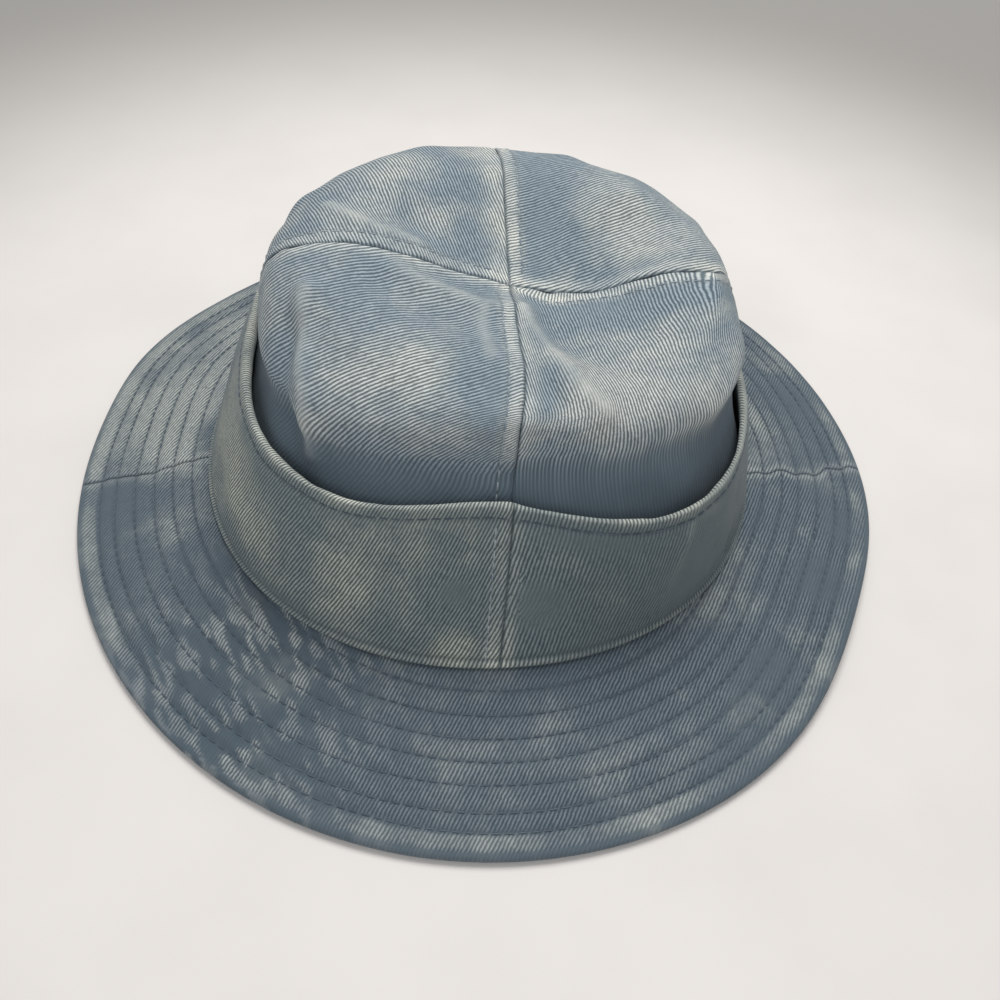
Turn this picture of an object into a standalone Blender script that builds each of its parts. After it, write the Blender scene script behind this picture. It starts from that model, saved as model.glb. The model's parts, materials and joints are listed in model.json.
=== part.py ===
"""Washed denim bucket hat: four-panel crown, deep turned-up cuff and a wide brim of two cloths.

Metres, +Z up, the front of the hat towards -Y. The origin lies on the plane that the hat rests on,
in the middle of the brim. Lengths that aren't listed here are worked out from those that are.
"""

from math import cos, exp, pi, radians, sin
from typing import NamedTuple

import bmesh
import bpy
from mathutils import Vector

# Cloth and clearances
DENIM = 0.0010
STIFFENER = 0.0005
BAND_CLOTH = 0.0006
LABEL_CLOTH = 0.0004
THREAD_RADIUS = 0.0003
GAP = 0.0003
SEAM_CLEARANCE = 0.7 * GAP
THREAD_CLEARANCE = THREAD_RADIUS + 1.5 * GAP

# Brim
BRIM_HALF_WIDTH = 0.1460
BRIM_HALF_DEPTH = 0.1545
BRIM_FLAT_EDGE = 0.0060
BRIM_RISE = 0.0099
BRIM_STACK = 2 * DENIM + STIFFENER + 2 * GAP
LEFT_SEAM = -176.0
RIGHT_SEAM_INNER = -13.0
RIGHT_SEAM_OUTER = -3.0

# Joints: each brim flap folds up along a straight line this far in front of or behind the middle,
# level with the brim's highest point on that line
FOLD_LINE = 0.1075
FOLD_HEIGHT = 0.0107

# Cuff
CUFF_SLOT = 0.0005
CUFF_FOLD_RADIUS = DENIM + CUFF_SLOT / 2
CUFF_LIFT = 0.0010
CUFF_BELLY = 0.0012
CUFF_STITCH_DROP = 0.0050

# Sweatband and label, in crown levels
BAND_BOTTOM_LEVEL = 0.03
BAND_TOP_LEVEL = 1.05
BAND_CLEARANCE = 0.0006
LABEL_WIDTH = 0.0220
LABEL_CLEARANCE = 0.0011
LABEL_TOP_LEVEL = 0.95
LABEL_BOTTOM_LEVEL = 0.30

TOPSTITCH_OFFSET = 0.0048
TOPSTITCH_FROM_LEVEL = 2.2
TOPSTITCH_TO_LEVEL = 6.4

# Facets. The sweatband has as many round the head as the crown, so that the two stay level with each other
PANEL_COLUMNS = 10
PANEL_ROWS = 14
CUFF_COLUMNS = 28
BRIM_COLUMNS = 32

DEGREES_PER_RADIAN = 180 / pi


class Ring(NamedTuple):
    """A level of the crown or cuff: a rounded rectangle in plan, which may tilt."""

    height: float
    half_width: float
    half_depth: float
    centre_x: float = 0.0
    centre_y: float = 0.0
    squareness: float = 2.0
    tilt_x: float = 0.0
    tilt_y: float = 0.0


# The crown from its sewn edge to its dented middle. It leans in, then turns over a soft shoulder
# that is highest at the back left.
CROWN_RINGS = (
    Ring(0.0138, 0.0920, 0.0940, -0.0015, 0.000, 2.1),
    Ring(0.0400, 0.0838, 0.0850, -0.0005, 0.001, 2.4),
    Ring(0.0637, 0.0761, 0.0757, 0.0016, 0.0028, 2.6),
    Ring(0.0767, 0.0767, 0.0713, 0.0027, 0.0030, 2.8, 0.005, 0.024),
    Ring(0.0887, 0.0713, 0.0659, 0.0038, 0.0010, 2.05, -0.037, 0.072),
    Ring(0.0928, 0.0571, 0.0481, 0.0057, -0.0013, 2.25, -0.095, 0.126),
    Ring(0.0889, 0.0333, 0.0296, 0.0056, -0.0018, 2.3, -0.182, 0.147),
    Ring(0.0811, 0.0006, 0.0006, 0.0054, -0.0005, 2.0, -0.190, 0.100),
)
CROWN_TOP_LEVEL = len(CROWN_RINGS) - 1
BRIM_INNER = Ring(0.0, 0.0905, 0.0925, -0.0015, 0.000, 2.1)
BRIM_OUTER = Ring(0.0, BRIM_HALF_WIDTH, BRIM_HALF_DEPTH)
CUFF_BASE = Ring(0.0, 0.0974, 0.0995, -0.0015, 0.000, 2.1)
CUFF_TOP = Ring(0.0625, 0.0808, 0.0825, 0.0012, 0.000, 2.7)


class Ripple(NamedTuple):
    """A soft wave round an edge, centred on an angle in degrees."""

    angle: float
    width: float
    reach: float
    lift: float


BRIM_RIPPLES = (
    Ripple(-32, 18, -0.0050, 0.0040),
    Ripple(155, 12, 0.0025, 0.0),
    Ripple(127, 14, -0.0025, 0.0),
)
CUFF_RIPPLES = (Ripple(-96, 18, -0.0022, 0.0035), Ripple(-54, 23, 0.0045, -0.0045))


def clear_scene():
    for obj in list(bpy.data.objects):
        bpy.data.objects.remove(obj)


def new_collection(name):
    collection = bpy.data.collections.new(name)
    bpy.context.scene.collection.children.link(collection)
    return collection


def cloth_material(name, colour, roughness):
    material = bpy.data.materials.new(name)
    material.use_nodes = True
    shader = material.node_tree.nodes["Principled BSDF"]
    shader.inputs["Base Color"].default_value = (*colour, 1.0)
    shader.inputs["Roughness"].default_value = roughness
    shader.inputs["Metallic"].default_value = 0.0
    material.diffuse_color = (*colour, 1.0)
    return material


# ---------------------------------------------------------------- surfaces


def wave(ripples, angle, field):
    """The sum of one field of the ripples at an angle in degrees."""
    total = 0.0
    for ripple in ripples:
        turn = (angle - ripple.angle + 180) % 360 - 180
        total += getattr(ripple, field) * exp(-((turn / ripple.width) ** 2))
    return total


def ring_point(ring, angle, extra_reach=0.0):
    """A point of a ring at an angle in degrees, 0 towards +X and -90 towards the front."""
    c = cos(radians(angle))
    s = sin(radians(angle))
    n = ring.squareness
    reach = (abs(c / ring.half_width) ** n + abs(s / ring.half_depth) ** n) ** (-1 / n) + extra_reach
    x = reach * c
    y = reach * s
    z = ring.height + ring.tilt_x * x + ring.tilt_y * y
    return Vector((ring.centre_x + x, ring.centre_y + y, z))


def crown_ring(level):
    """The crown's ring at any level, by a Catmull-Rom curve through the listed rings."""
    i = min(int(level), CROWN_TOP_LEVEL - 1)
    u = level - i
    around = [CROWN_RINGS[min(max(i + k, 0), CROWN_TOP_LEVEL)] for k in (-1, 0, 1, 2)]
    fields = []
    for a, b, c, d in zip(*around):
        curve = (2 * a - 5 * b + 4 * c - d) * u**2 + (3 * b - a - 3 * c + d) * u**3
        fields.append(b + 0.5 * ((c - a) * u + curve))
    return Ring(*fields)


def crown_point(angle, level):
    return ring_point(crown_ring(level), angle)


def crown_normal(angle, level):
    """Outward unit normal of the crown, from its slopes round and up the surface."""
    low = min(max(level - 0.05, 0.0), CROWN_TOP_LEVEL - 0.1)
    round_it = crown_point(angle + 1, level) - crown_point(angle - 1, level)
    up_it = crown_point(angle, low + 0.1) - crown_point(angle, low)
    return round_it.cross(up_it).normalized()


def brim_edges(angle):
    """The head opening's edge and the brim's outer edge at an angle, both on the resting plane."""
    outer = ring_point(BRIM_OUTER, angle, wave(BRIM_RIPPLES, angle, "reach"))
    return ring_point(BRIM_INNER, angle), outer


def slope_end(angle):
    """The share of the brim's width where it stops falling and lies flat."""
    inner, outer = brim_edges(angle)
    return 1 - BRIM_FLAT_EDGE / (outer - inner).length


def brim_point(angle, share, height):
    """A point of the brim a share of the way from the head opening to the edge, at a height in the stack."""
    inner, outer = brim_edges(angle)
    point = inner.lerp(outer, share)
    fall = max(0.0, 1 - share / slope_end(angle))
    lift = wave(BRIM_RIPPLES, angle, "lift") * share**2
    point.z = BRIM_RISE * fall + lift + height
    return point


def brim_top_at(point, angle):
    """Height of the brim's top under a point that stands near the head opening."""
    inner, outer = brim_edges(angle)
    share = (point - inner).xy.length / (outer - inner).length
    return brim_point(angle, share, BRIM_STACK).z


def cuff_section(angle):
    """The cuff's outer face as a path: up the outside, over the top fold and down the inside."""
    base = ring_point(CUFF_BASE, angle)
    base.z = brim_top_at(base, angle) + CUFF_LIFT
    top = ring_point(CUFF_TOP, angle, wave(CUFF_RIPPLES, angle, "reach"))
    top.z += wave(CUFF_RIPPLES, angle, "lift")
    up = (top - base).normalized()
    radial = Vector((cos(radians(angle)), sin(radians(angle)), 0))
    inward = -(radial - radial.dot(up) * up).normalized()
    straight = (top - base).length - CUFF_FOLD_RADIUS
    path = []
    for share in (0, 0.25, 0.5, 0.75, 1.0):
        path.append(base + up * straight * share - inward * CUFF_BELLY * sin(pi * share))
    centre = base + up * straight + inward * CUFF_FOLD_RADIUS
    for turn in (45, 90, 135):
        out = inward * cos(radians(turn)) - up * sin(radians(turn))
        path.append(centre - CUFF_FOLD_RADIUS * out)
    for share in (1.0, 0.75, 0.5, 0.25, 0.04):
        depth = 2 * CUFF_FOLD_RADIUS - CUFF_BELLY * sin(pi * share)
        path.append(base + up * straight * share + inward * depth)
    return path


# ---------------------------------------------------------------- object makers


def mesh_object(name, collection, material, rows, closed=False):
    """An open sheet through rows of points. A closed sheet joins its last row to its first."""
    bm = bmesh.new()
    grid = [[bm.verts.new(point) for point in row] for row in rows]
    pairs = list(zip(grid, grid[1:]))
    if closed:
        pairs.append((grid[-1], grid[0]))
    for row, following in pairs:
        for i in range(len(row) - 1):
            bm.faces.new((row[i], following[i], following[i + 1], row[i + 1]))
    mesh = bpy.data.meshes.new(name)
    bm.to_mesh(mesh)
    bm.free()
    mesh.shade_smooth()
    mesh.materials.append(material)
    obj = bpy.data.objects.new(name, mesh)
    collection.objects.link(obj)
    return obj


def thicken(obj, thickness):
    """Gives a sheet its cloth thickness, on the side its faces look away from."""
    solid = obj.modifiers.new("Cloth", "SOLIDIFY")
    solid.thickness = thickness
    solid.offset = -1
    solid.use_even_offset = True
    solid.use_quality_normals = True


def thread(name, collection, material, points, closed=False):
    """A sewing thread through the points, as a mesh tube with welded caps."""
    curve = bpy.data.curves.new(name, "CURVE")
    curve.dimensions = "3D"
    curve.bevel_depth = THREAD_RADIUS
    curve.bevel_resolution = 1
    curve.use_fill_caps = True
    spline = curve.splines.new("POLY")
    spline.points.add(len(points) - 1)
    for target, point in zip(spline.points, points):
        target.co = (*point, 1.0)
    spline.use_cyclic_u = closed
    guide = bpy.data.objects.new(name + "_path", curve)
    collection.objects.link(guide)
    graph = bpy.context.evaluated_depsgraph_get()
    mesh = bpy.data.meshes.new_from_object(guide.evaluated_get(graph))
    mesh.name = name
    bpy.data.objects.remove(guide)
    bm = bmesh.new()
    bm.from_mesh(mesh)
    bmesh.ops.remove_doubles(bm, verts=bm.verts, dist=0.00001)
    bmesh.ops.recalc_face_normals(bm, faces=bm.faces)
    bm.to_mesh(mesh)
    bm.free()
    mesh.materials.clear()
    mesh.materials.append(material)
    obj = bpy.data.objects.new(name, mesh)
    collection.objects.link(obj)
    return obj


def fold_cutter(name, collection, side):
    """A box that holds everything beyond a fold line: side -1 is the front, +1 the back."""
    bm = bmesh.new()
    bmesh.ops.create_cube(bm, size=1.0)
    size = 4 * BRIM_HALF_DEPTH
    bmesh.ops.scale(bm, vec=(size, size, size), verts=bm.verts)
    bmesh.ops.translate(bm, vec=(0, side * size / 2, 0), verts=bm.verts)
    mesh = bpy.data.meshes.new(name)
    bm.to_mesh(mesh)
    bm.free()
    obj = bpy.data.objects.new(name, mesh)
    collection.objects.link(obj)
    obj.hide_render = True
    obj.display_type = "WIRE"
    return obj


def cut(obj, cutter, operation):
    boolean = obj.modifiers.new("Fold line", "BOOLEAN")
    boolean.operation = operation
    boolean.object = cutter


def put_origin(obj, origin, parent):
    """Moves an object's origin onto a joint axis and parents it to the empty that stands there."""
    for vertex in obj.data.vertices:
        vertex.co -= origin
    obj.parent = parent


def joint_empty(name, collection, place):
    empty = bpy.data.objects.new(name, None)
    empty.location = place
    empty.empty_display_size = 0.01
    collection.objects.link(empty)
    return empty


def steps(start, end, count):
    return [start + (end - start) * i / count for i in range(count + 1)]


# ---------------------------------------------------------------- crown


def panel_row(level, start, end, columns):
    """A row of crown points between two seams, held half a gap clear of each."""
    reach = crown_ring(level).half_width
    clear = min(40.0, DEGREES_PER_RADIAN * SEAM_CLEARANCE / reach)
    return [crown_point(angle, level) for angle in steps(start + clear, end - clear, columns)]


def build_crown_panels(collection, material):
    panels = {"front_left": -180, "front_right": -90, "back_right": 0, "back_left": 90}
    for name, start in panels.items():
        levels = steps(0, CROWN_TOP_LEVEL, PANEL_ROWS)
        rows = [panel_row(level, start, start + 90, PANEL_COLUMNS) for level in levels]
        columns = list(zip(*rows))
        panel = mesh_object("crown_panel_" + name, collection, material, columns)
        thicken(panel, DENIM)


def build_crown_topstitching(collection, material):
    """One line of stitches beside each crown seam, on its clockwise side seen from above."""
    seams = {"front": -90, "right": 0, "back": 90, "left": 180}
    for name, seam in seams.items():
        points = []
        for level in steps(TOPSTITCH_FROM_LEVEL, TOPSTITCH_TO_LEVEL, 21):
            ring = crown_ring(level)
            reach = ring.half_depth if name in ("front", "back") else ring.half_width
            angle = seam - DEGREES_PER_RADIAN * TOPSTITCH_OFFSET / reach
            points.append(crown_point(angle, level) + crown_normal(angle, level) * THREAD_CLEARANCE)
        thread("crown_topstitch_" + name, collection, material, points)


# ---------------------------------------------------------------- cuff


def build_cuff(collection, material):
    """Two lengths of double cloth, each folded over along its top and butted at front and back."""
    clear = DEGREES_PER_RADIAN * SEAM_CLEARANCE / CUFF_TOP.half_depth
    halves = {"cuff_left": (90, 270), "cuff_right": (-90, 90)}
    for name, (start, end) in halves.items():
        rows = [cuff_section(angle) for angle in steps(start + clear, end - clear, CUFF_COLUMNS)]
        half = mesh_object(name, collection, material, rows)
        thicken(half, DENIM)


def build_cuff_topstitching(collection, material):
    """A line of stitches round the cuff below its fold, and one beside each of its two seams."""
    ring = []
    for angle in steps(0, 360, 72)[:-1]:
        section = cuff_section(angle)
        down = (section[3] - section[4]).normalized()
        out = down.cross(Vector((-sin(radians(angle)), cos(radians(angle)), 0))).normalized()
        ring.append(section[4] + down * CUFF_STITCH_DROP + out * THREAD_CLEARANCE)
    thread("cuff_topstitch_edge", collection, material, ring, closed=True)
    for name, seam in {"front": -90, "back": 90}.items():
        angle = seam - DEGREES_PER_RADIAN * TOPSTITCH_OFFSET / CUFF_TOP.half_depth
        section = cuff_section(angle)
        out = Vector((cos(radians(angle)), sin(radians(angle)), 0))
        low = section[0].lerp(section[1], 0.1)
        high = section[3].lerp(section[4], 0.3)
        places = (low, section[1], section[2], section[3], high)
        points = [place + out * THREAD_CLEARANCE for place in places]
        thread("cuff_topstitch_" + name, collection, material, points)


# ---------------------------------------------------------------- brim


def brim_rows(seams, height):
    """Rows of a brim cloth from one side seam to the other, held half a gap clear of each."""
    start_inner, end_inner, start_outer, end_outer = seams
    rows = []
    for turn in steps(0, 1, BRIM_COLUMNS):
        row = []
        for portion in (0, 1 / 3, 2 / 3, 1, None):
            rough = start_inner + (end_inner - start_inner) * turn
            share = 1.0 if portion is None else portion * slope_end(rough)
            start = start_inner + (start_outer - start_inner) * share
            end = end_inner + (end_outer - end_inner) * share
            reach = BRIM_INNER.half_width * (1 - share) + BRIM_HALF_WIDTH * share
            clear = DEGREES_PER_RADIAN * GAP / 2 / reach
            angle = (start + clear) * (1 - turn) + (end - clear) * turn
            share = 1.0 if portion is None else portion * slope_end(angle)
            row.append(brim_point(angle, share, height))
        rows.append(row)
    return rows


def build_brim(collection, cutters, denim, stiffener):
    """Under cloth, stiffener and upper cloth, each as a front and a back piece with a flap that folds."""
    layers = {
        "brim_under": (0.0, DENIM, denim),
        "brim_stiffener": (DENIM + GAP, STIFFENER, stiffener),
        "brim_upper": (DENIM + STIFFENER + 2 * GAP, DENIM, denim),
    }
    halves = {
        "front": (-1, (LEFT_SEAM, RIGHT_SEAM_INNER, LEFT_SEAM, RIGHT_SEAM_OUTER)),
        "back": (1, (RIGHT_SEAM_INNER, LEFT_SEAM + 360, RIGHT_SEAM_OUTER, LEFT_SEAM + 360)),
    }
    for half, (side, seams) in halves.items():
        axis = joint_empty("fold_axis_" + half, collection, (0, side * FOLD_LINE, FOLD_HEIGHT))
        keep_off = fold_cutter("cut_fixed_" + half, cutters, side)
        keep_off.location.y = side * (FOLD_LINE - GAP / 2)
        keep_on = fold_cutter("cut_flap_" + half, cutters, side)
        keep_on.location.y = side * (FOLD_LINE + GAP / 2)
        for layer, (height, thickness, material) in layers.items():
            rows = brim_rows(seams, height)
            fixed = mesh_object(f"{layer}_{half}", collection, material, rows)
            thicken(fixed, thickness)
            cut(fixed, keep_off, "DIFFERENCE")
            flap = mesh_object(f"{layer}_{half}_flap", collection, material, rows)
            thicken(flap, thickness)
            put_origin(flap, axis.location, axis)
            cut(flap, keep_on, "INTERSECT")


# ---------------------------------------------------------------- inside


def inside_point(angle, level, depth):
    return crown_point(angle, level) - crown_normal(angle, level) * depth


def build_sweatband(collection, material):
    depth = DENIM + BAND_CLEARANCE
    levels = steps(BAND_BOTTOM_LEVEL, BAND_TOP_LEVEL, 3)
    angles = steps(0, 360, 4 * PANEL_COLUMNS)[:-1]
    rows = [[inside_point(angle, level, depth) for level in levels] for angle in angles]
    band = mesh_object("sweatband", collection, material, rows, closed=True)
    thicken(band, BAND_CLOTH)


def build_care_label(collection, material):
    """A blank label sewn by its top edge inside the back of the band, where it can be lifted."""
    depth = DENIM + BAND_CLEARANCE + BAND_CLOTH + LABEL_CLEARANCE
    top = inside_point(90, LABEL_TOP_LEVEL, depth)
    bottom = inside_point(90, LABEL_BOTTOM_LEVEL, depth)
    top.x = 0
    bottom.x = 0
    axis = joint_empty("label_axis", collection, top)
    half = Vector((LABEL_WIDTH / 2, 0, 0))
    rows = [[top - half, bottom - half], [top + half, bottom + half]]
    label = mesh_object("care_label", collection, material, rows)
    thicken(label, LABEL_CLOTH)
    put_origin(label, axis.location, axis)


def main():
    clear_scene()
    hat = new_collection("denim_bucket_hat")
    cutters = new_collection("cutters")
    crown_denim = cloth_material("crown_denim", (0.36, 0.45, 0.52), 0.9)
    cuff_denim = cloth_material("cuff_denim", (0.20, 0.26, 0.29), 0.9)
    brim_denim = cloth_material("brim_denim", (0.14, 0.20, 0.26), 0.9)
    stiffener = cloth_material("stiffener", (0.70, 0.69, 0.64), 0.95)
    cotton_band = cloth_material("cotton_band", (0.55, 0.52, 0.44), 0.85)
    label_cloth = cloth_material("label_cloth", (0.80, 0.79, 0.74), 0.7)
    sewing_thread = cloth_material("sewing_thread", (0.47, 0.55, 0.60), 0.7)
    build_crown_panels(hat, crown_denim)
    build_crown_topstitching(hat, sewing_thread)
    build_cuff(hat, cuff_denim)
    build_cuff_topstitching(hat, sewing_thread)
    build_brim(hat, cutters, brim_denim, stiffener)
    build_sweatband(hat, cotton_band)
    build_care_label(hat, label_cloth)


main()
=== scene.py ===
"""Looks of the washed denim bucket hat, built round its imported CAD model.

Every cloth is a fine closed sheet on the same surfaces as the CAD solids, with its seams, sewn channels,
creases and puckers as geometry, single stitches as small bent threads, and a woven denim material.

Shapes and patterns are worked out in millimetres of a hat 309 mm long. MM turns them into metres.
"""

import json
from itertools import product
from math import cos, pi, radians, sin
from typing import NamedTuple

import bpy
import numpy as np
from mathutils import Matrix, Vector


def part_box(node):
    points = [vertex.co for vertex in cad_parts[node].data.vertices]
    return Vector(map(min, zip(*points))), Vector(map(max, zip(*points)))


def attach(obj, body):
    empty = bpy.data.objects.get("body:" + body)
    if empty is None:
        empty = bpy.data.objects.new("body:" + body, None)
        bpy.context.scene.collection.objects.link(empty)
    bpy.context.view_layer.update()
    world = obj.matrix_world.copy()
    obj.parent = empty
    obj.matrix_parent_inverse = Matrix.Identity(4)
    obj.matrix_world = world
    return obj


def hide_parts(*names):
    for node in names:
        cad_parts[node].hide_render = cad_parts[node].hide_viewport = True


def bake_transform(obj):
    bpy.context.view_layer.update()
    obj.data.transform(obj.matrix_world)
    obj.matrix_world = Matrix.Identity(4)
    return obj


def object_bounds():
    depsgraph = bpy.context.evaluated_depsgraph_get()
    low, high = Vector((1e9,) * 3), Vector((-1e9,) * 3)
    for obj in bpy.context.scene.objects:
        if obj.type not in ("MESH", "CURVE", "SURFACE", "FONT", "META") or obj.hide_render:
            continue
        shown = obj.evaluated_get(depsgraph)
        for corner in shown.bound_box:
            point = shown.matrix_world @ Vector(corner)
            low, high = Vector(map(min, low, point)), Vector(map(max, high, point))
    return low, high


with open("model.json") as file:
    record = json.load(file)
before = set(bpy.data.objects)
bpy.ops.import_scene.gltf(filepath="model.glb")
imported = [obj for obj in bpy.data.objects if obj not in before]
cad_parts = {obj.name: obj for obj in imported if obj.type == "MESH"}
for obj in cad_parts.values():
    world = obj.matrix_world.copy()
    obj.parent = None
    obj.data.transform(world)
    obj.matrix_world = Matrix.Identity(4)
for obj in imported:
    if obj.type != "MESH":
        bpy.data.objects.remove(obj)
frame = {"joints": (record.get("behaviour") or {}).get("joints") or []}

CAD_LOW, CAD_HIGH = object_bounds()

# One millimetre of a hat 309 mm long, in metres, so that every size below follows the frame
MM = (CAD_HIGH.y - CAD_LOW.y) / 309.0

# Cloth
DENIM = 1.0
BRIM_STACK = 3.1
RIB_PITCH = 1.08

# Crown panels by the angle where each starts, and the seam at which it ends
CROWN_PANELS = {
    "front_left": (-180, "front"),
    "front_right": (-90, "right"),
    "back_right": (0, "back"),
    "back_left": (90, "left"),
}
CROWN_ROW_SPACING = 1.2
CROWN_COLUMNS = 124

# Crown levels from and to which the stitches beside its seams run
CROWN_STITCHES_FROM = 0.6
CROWN_STITCHES_TO = 6.75

# How close the ribs lie on each crown panel, since each is stretched a little differently
RIBS_ON_PANEL = {"front_left": 0.90, "front_right": 1.05, "back_right": 1.0, "back_left": 1.05}

# The share by which the ribs lie wider apart at a crown panel's sewn edge than at its top
RIB_PULL = 0.12

# One panel is dragged sideways: its ribs stand upright below this stretch and lean above it
DRAGGED_PANEL = "front_right"
DRAG_FROM = 52
DRAG_TO = 88

# How far the rubbed cloth reaches from each panel's first seam, and how worn its last seam is
FIRST_SEAM_WEAR = {"front_left": 2.8, "front_right": 2.8, "back_right": 2.8, "back_left": 5.0}
LAST_SEAM_WEAR = {"front_left": 1.2, "front_right": 1.2, "back_right": 1.2, "back_left": 0.6}

# Brim
BRIM_HALF_WIDTH = (CAD_HIGH.x - CAD_LOW.x) / 2 / MM
BRIM_HALF_DEPTH = (CAD_HIGH.y - CAD_LOW.y) / 2 / MM
BRIM_WIDEST = 64
BRIM_FLAT_EDGE = 6.0
BRIM_RISE = 9.9
BRIM_BEND_SOFTNESS = 0.03
BRIM_ROW_SPACING = 0.78
BRIM_ROWS_REACH = 50
BRIM_EDGE_ROWS = 7
BRIM_INNER_ROWS = 12
BRIM_COLUMNS = 344
LEFT_SEAM = -176.0
RIGHT_SEAM_INNER = -13.0
RIGHT_SEAM_OUTER = -3.0
STITCH_ROWS = (7.5, 13.0, 20.0, 27.0, 33.5, 40.5, 48.0)

# The canvas inside the brim starts this far from its edge, and is twice this thick
CANVAS_FROM = 5
CANVAS_HALF = 0.2

# Distances a little inside the brim's fold line and farther outside it
BEND_INSIDE = 8
BEND_OUTSIDE = 16

# The gathered part of the brim, and the heading of its puckers, in degrees
PULLED_AT = -128.0
PULLED_SPREAD = 17.0
PUCKER_HEADING = -64.0

# The brim's cloth never dips deeper than this between its faces, so that it covers the stiffener
DEEPEST_BRIM_DIP = 0.95

# Cuff
CUFF_FOLD_RADIUS = 1.25
CUFF_BELLY = 1.2
CUFF_LIFT = 1.0
CUFF_STITCH_DROP = 5.0
CUFF_WALL_ROWS = 52
CUFF_TURN_ROWS = 11
CUFF_INNER_ROWS = 26
CUFF_COLUMNS = 230

# The right half of the cuff was cut a little turned: its ribs are steeper and wider apart
CUFF_RIBS = {"left": (0.0, 1.0), "right": (0.14, 0.92)}

# A small upright fold of the cuff at the right of its front: its angle, and its height as a share
CUFF_SIDE_FOLD = -54
CUFF_SIDE_FOLD_AT = 0.72

# Sweatband, by the crown levels that it spans
SWEATBAND_FROM = 0.03
SWEATBAND_TO = 1.05
SWEATBAND_ROWS = 26
SWEATBAND_STITCH_ROWS = (3, 22)

# Label
LABEL_COLUMNS = 30
LABEL_ROWS = 36
LABEL_HALF = 0.15

# Seams and stitches
FELL_WIDTH = 5.4
TOPSTITCH_OFFSET = 4.6
STITCH_LENGTH = 2.9
STITCH_SPACE = 0.8
THREAD_RADIUS = 0.27
THREAD_SIDES = 6

# The floor lies this far below the hat, so that their faces never meet
FLOOR_GAP = 0.2
FLOOR_HALF = 20000

# Constants of the hash that scatters random values over a grid of cells
CELL_PRIMES = (73856093, 19349663, 83492791)
SEED_STEP = 1013
HASH_STEPS = (1103515245, 12345, 1274126177)
HASH_MASK = 0x7FFFFFFF


class Ring(NamedTuple):
    """A level of the crown, cuff or brim: a rounded rectangle in plan, which may tilt."""

    height: float
    half_width: float
    half_depth: float
    centre_x: float = 0.0
    centre_y: float = 0.0
    squareness: float = 2.0
    tilt_x: float = 0.0
    tilt_y: float = 0.0


# The crown from its sewn edge to its dented middle
CROWN_RINGS = (
    Ring(13.8, 92.0, 94.0, -1.5, 0.0, 2.1),
    Ring(40.0, 83.8, 85.0, -0.5, 1.0, 2.4),
    Ring(63.7, 76.1, 75.7, 1.6, 2.8, 2.6),
    Ring(76.7, 76.7, 71.3, 2.7, 3.0, 2.8, 0.005, 0.024),
    Ring(88.7, 71.3, 65.9, 3.8, 1.0, 2.05, -0.037, 0.072),
    Ring(92.8, 57.1, 48.1, 5.7, -1.3, 2.25, -0.095, 0.126),
    Ring(88.9, 33.3, 29.6, 5.6, -1.8, 2.3, -0.182, 0.147),
    Ring(81.1, 0.15, 0.15, 5.4, -0.5, 2.0, -0.190, 0.100),
)
CROWN_TOP_LEVEL = len(CROWN_RINGS) - 1
BRIM_INNER = Ring(0.0, 90.5, 92.5, -1.5, 0.0, 2.1)
BRIM_OUTER = Ring(0.0, BRIM_HALF_WIDTH, BRIM_HALF_DEPTH)
CUFF_BASE = Ring(0.0, 97.4, 99.5, -1.5, 0.0, 2.1)
CUFF_TOP = Ring(62.5, 80.8, 82.5, 1.2, 0.0, 2.7)


class Ripple(NamedTuple):
    """A soft wave round an edge, centred on an angle. Angle and width in degrees."""

    angle: float
    width: float
    reach: float
    lift: float


BRIM_RIPPLES = (Ripple(-32, 18, -5.0, 4.0), Ripple(155, 12, 2.5, 0.0), Ripple(127, 14, -2.5, 0.0))
CUFF_RIPPLES = (Ripple(-96, 18, -2.2, 3.5), Ripple(-54, 23, 4.5, -4.5))


class Fold(NamedTuple):
    """A crease along a line of (angle, level) places on the crown. Height above zero is a ridge.

    Bare tells how far the ridge is rubbed smooth, so that its ribs are lost.
    """

    line: tuple
    height: float
    width: float
    bare: float = 0.0


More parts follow.
